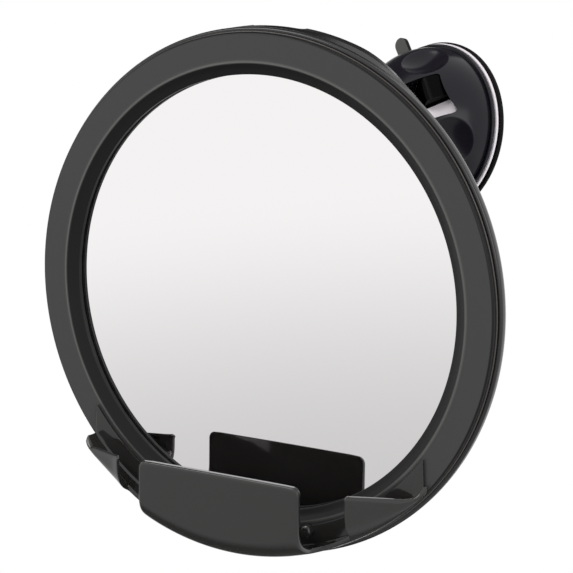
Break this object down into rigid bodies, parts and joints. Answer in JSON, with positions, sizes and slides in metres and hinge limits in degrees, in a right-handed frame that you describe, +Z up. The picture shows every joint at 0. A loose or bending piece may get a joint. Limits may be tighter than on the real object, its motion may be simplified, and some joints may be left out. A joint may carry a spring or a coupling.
{
  "type": "fogless shower mirror",
  "caption": "Round wall mirror with a warm water chamber behind the glass, a razor tray, and a ball-jointed arm on a lever-locked suction cup.",
  "frame": {"origin": "centre of the suction pad's wall face", "axes": "+Y into the wall, -Y towards the room, +Z up, +X to the right of someone facing the wall"},
  "size_m": [0.1989, 0.1333, 0.2135],
  "materials": {
    "satin_ring": "satin, fine texture",
    "gloss_tray": "gloss moulded",
    "shell_black": "semi gloss moulded",
    "bead_grey": "satin",
    "mirror": "silvered, polished edge",
    "rubber": "smooth moulded",
    "plate_white": "satin, slightly translucent",
    "dome_gloss": "high gloss",
    "lever_black": "gloss moulded",
    "steel": "plain turned",
    "nylon": "matt moulded"
  },
  "bodies": {
    "cup": {"suction_pad": "rubber", "pressure_plate": "plate_white", "cup_cover": "dome_gloss", "cover_screw_1": "steel", "cover_screw_2": "steel", "cover_screw_3": "steel"},
    "stem": {"pull_stem": "nylon", "lever_pin": "steel"},
    "lever": {"lock_lever": "lever_black"},
    "swivel": {"swivel_fork": "dome_gloss", "swivel_washer": "steel", "swivel_screw": "steel", "pivot_bolt": "steel", "pivot_nut": "steel"},
    "arm": {"mirror_arm": "dome_gloss", "ball_stud": "steel"},
    "grip_ring": {"friction_ring": "nylon"},
    "nut": {"clamp_nut": "shell_black"},
    "head": {"socket_cup": "shell_black", "socket_screw_1": "steel", "socket_screw_2": "steel", "socket_screw_3": "steel", "socket_screw_4": "steel", "back_shell": "shell_black", "front_ring": "satin_ring", "seam_bead": "bead_grey", "lip_seal": "rubber", "mirror_pane": "mirror", "pane_retainer": "nylon", "pane_screw_1": "steel", "pane_screw_2": "steel", "pane_screw_3": "steel", "pane_screw_4": "steel", "pane_screw_5": "steel", "pane_screw_6": "steel", "razor_tray": "gloss_tray", "tray_screw_1": "steel", "tray_screw_2": "steel", "tray_screw_3": "steel"}
  },
  "joints": [
    {"name": "lever_flip", "type": "hinge", "parent": "stem", "child": "lever", "pos_m": [0, -0.018, 0], "axis": [0.5299, 0, -0.848], "range_deg": [0, 36]},
    {"name": "stem_lift", "type": "slide", "parent": "cup", "child": "stem", "axis": [0, 1, 0], "range_m": [0, 0.0012]},
    {"name": "arm_swivel", "type": "hinge", "parent": "cup", "child": "swivel", "pos_m": [0, -0.038, 0], "axis": [0, -1, 0], "continuous": true},
    {"name": "arm_pitch", "type": "hinge", "parent": "swivel", "child": "arm", "pos_m": [0, -0.0452, 0], "axis": [-1, 0, 0], "range_deg": [-8, 45]},
    {"name": "head_tilt", "type": "hinge", "parent": "arm", "child": "grip_ring", "pos_m": [0, -0.0739, -0.0695], "axis": [0.9573, 0.289, 0], "range_deg": [-20, 15]},
    {"name": "head_pan", "type": "hinge", "parent": "grip_ring", "child": "nut", "pos_m": [0, -0.0739, -0.0695], "axis": [0.0586, -0.1941, 0.9792], "range_deg": [-41, 8]},
    {"name": "head_roll", "type": "hinge", "parent": "nut", "child": "head", "pos_m": [0, -0.0739, -0.0695], "axis": [0.283, -0.9374, -0.2028], "continuous": true}
  ],
  "couplings": [
    {"joint": "stem_lift", "follows": "lever_flip", "m_per_rad": 0.0018239}
  ]
}
